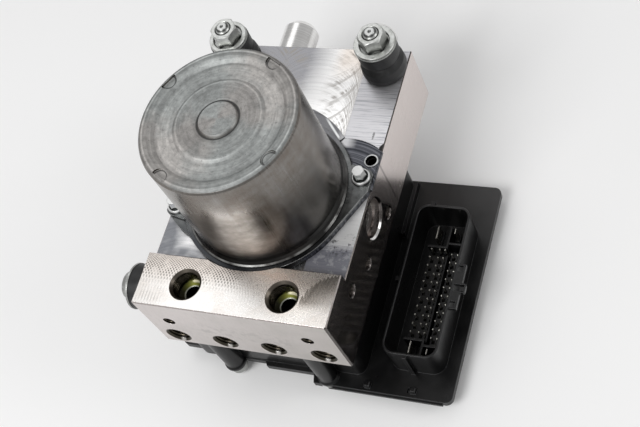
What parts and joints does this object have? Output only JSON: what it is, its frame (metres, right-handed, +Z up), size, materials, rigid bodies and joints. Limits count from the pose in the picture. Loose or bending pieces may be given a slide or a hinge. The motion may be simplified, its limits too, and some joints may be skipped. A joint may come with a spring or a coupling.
{
  "type": "abs brake module",
  "caption": "Anti-lock brake hydraulic unit: machined block with pump motor, black control unit with plug socket, rubber mounts and turned accumulator caps.",
  "frame": {"origin": "on the motor axis, at the flat underside of the control unit's cover", "axes": "+X towards the plug socket, +Y from the port face to the back cylinders, +Z up along the motor axis"},
  "size_m": [0.1242, 0.1434, 0.1173],
  "materials": {
    "block_metal": "machined, milled swirls, light staining",
    "can_steel": "drawn and plated, soft satin",
    "flange_steel": "plated, satin",
    "screw_steel": "plated, slightly dulled",
    "unit_plastic": "fine-grained moulded, semi-matte",
    "cover_plastic": "fine-grained moulded",
    "mount_rubber": "moulded, matt, faint dust",
    "cap_metal": "turned, bright",
    "plug_steel": "ground",
    "ball_steel": "polished",
    "spring_steel": "oiled",
    "magnet_ferrite": "matt, dark",
    "core_steel": "stamped sheets",
    "winding_copper": "enamelled copper",
    "commutator_copper": "turned copper",
    "brush_carbon": "pressed carbon",
    "holder_plastic": "moulded",
    "terminal_brass": "tinned brass",
    "sleeve_plastic": "moulded",
    "coil_wire": "wound wire under tape",
    "board_resin": "lacquered",
    "pin_tin": "tinned, dull",
    "seal_rubber": "moulded"
  },
  "bodies": {
    "housing": {"valve_block": "block_metal", "ball_plugs": "ball_steel", "pump_liner_left": "plug_steel", "pump_liner_right": "plug_steel", "pump_spring_left": "spring_steel", "pump_spring_right": "spring_steel", "pump_plug_left": "plug_steel", "pump_plug_right": "plug_steel", "accumulator_cap_left": "cap_metal", "accumulator_cap_right": "cap_metal", "accumulator_spring_left": "spring_steel", "accumulator_spring_right": "spring_steel", "motor_can": "can_steel", "motor_flange": "flange_steel", "motor_screws": "screw_steel", "motor_magnets": "magnet_ferrite", "front_bearing": "plug_steel", "rear_bearing": "plug_steel", "brush_holder": "holder_plastic", "brushes": "brush_carbon", "motor_terminals": "terminal_brass", "terminal_sleeve": "sleeve_plastic", "inlet_valve_bodies": "plug_steel", "outlet_valve_bodies": "plug_steel", "valve_coils": "coil_wire", "coil_yokes": "core_steel", "rubber_bushes": "mount_rubber", "mount_studs": "screw_steel", "mount_washers": "screw_steel", "mount_nuts": "screw_steel", "side_bush": "mount_rubber", "side_mount_pin": "screw_steel", "unit_housing": "unit_plastic", "unit_cover": "cover_plastic", "unit_seal": "seal_rubber", "unit_screws": "screw_steel", "circuit_board": "board_resin", "signal_pins": "pin_tin", "power_blades": "pin_tin"},
    "rotor": {"motor_shaft": "plug_steel", "rotor_core": "core_steel", "rotor_windings": "winding_copper", "commutator": "commutator_copper", "eccentric": "plug_steel", "eccentric_ring": "plug_steel"},
    "piston_left": {"pump_piston_left": "plug_steel"},
    "piston_right": {"pump_piston_right": "plug_steel"},
    "accumulator_left": {"accumulator_piston_left": "cap_metal"},
    "accumulator_right": {"accumulator_piston_right": "cap_metal"},
    "inlet_valve_1": {"inlet_plunger_1": "plug_steel"},
    "inlet_valve_2": {"inlet_plunger_2": "plug_steel"},
    "inlet_valve_3": {"inlet_plunger_3": "plug_steel"},
    "inlet_valve_4": {"inlet_plunger_4": "plug_steel"},
    "outlet_valve_1": {"outlet_plunger_1": "plug_steel"},
    "outlet_valve_2": {"outlet_plunger_2": "plug_steel"},
    "outlet_valve_3": {"outlet_plunger_3": "plug_steel"},
    "outlet_valve_4": {"outlet_plunger_4": "plug_steel"}
  },
  "joints": [
    {"name": "motor_spin", "type": "hinge", "parent": "housing", "child": "rotor", "pos_m": [0, 0, 0.08], "axis": [0, 0, 1], "continuous": true},
    {"name": "pump_piston_left", "type": "slide", "parent": "housing", "child": "piston_left", "axis": [1, 0, 0], "range_m": [0, 0.0011]},
    {"name": "pump_piston_right", "type": "slide", "parent": "housing", "child": "piston_right", "axis": [-1, 0, 0], "range_m": [0, 0.0011]},
    {"name": "accumulator_left", "type": "slide", "parent": "housing", "child": "accumulator_left", "axis": [0, 1, 0], "range_m": [0, 0.007]},
    {"name": "accumulator_right", "type": "slide", "parent": "housing", "child": "accumulator_right", "axis": [0, 1, 0], "range_m": [0, 0.007]},
    {"name": "inlet_valve_1", "type": "slide", "parent": "housing", "child": "inlet_valve_1", "axis": [0, 0, 1], "range_m": [0, 0.0003]},
    {"name": "inlet_valve_2", "type": "slide", "parent": "housing", "child": "inlet_valve_2", "axis": [0, 0, 1], "range_m": [0, 0.0003]},
    {"name": "inlet_valve_3", "type": "slide", "parent": "housing", "child": "inlet_valve_3", "axis": [0, 0, 1], "range_m": [0, 0.0003]},
    {"name": "inlet_valve_4", "type": "slide", "parent": "housing", "child": "inlet_valve_4", "axis": [0, 0, 1], "range_m": [0, 0.0003]},
    {"name": "outlet_valve_1", "type": "slide", "parent": "housing", "child": "outlet_valve_1", "axis": [0, 0, 1], "range_m": [0, 0.0003]},
    {"name": "outlet_valve_2", "type": "slide", "parent": "housing", "child": "outlet_valve_2", "axis": [0, 0, 1], "range_m": [0, 0.0003]},
    {"name": "outlet_valve_3", "type": "slide", "parent": "housing", "child": "outlet_valve_3", "axis": [0, 0, 1], "range_m": [0, 0.0003]},
    {"name": "outlet_valve_4", "type": "slide", "parent": "housing", "child": "outlet_valve_4", "axis": [0, 0, 1], "range_m": [0, 0.0003]}
  ]
}
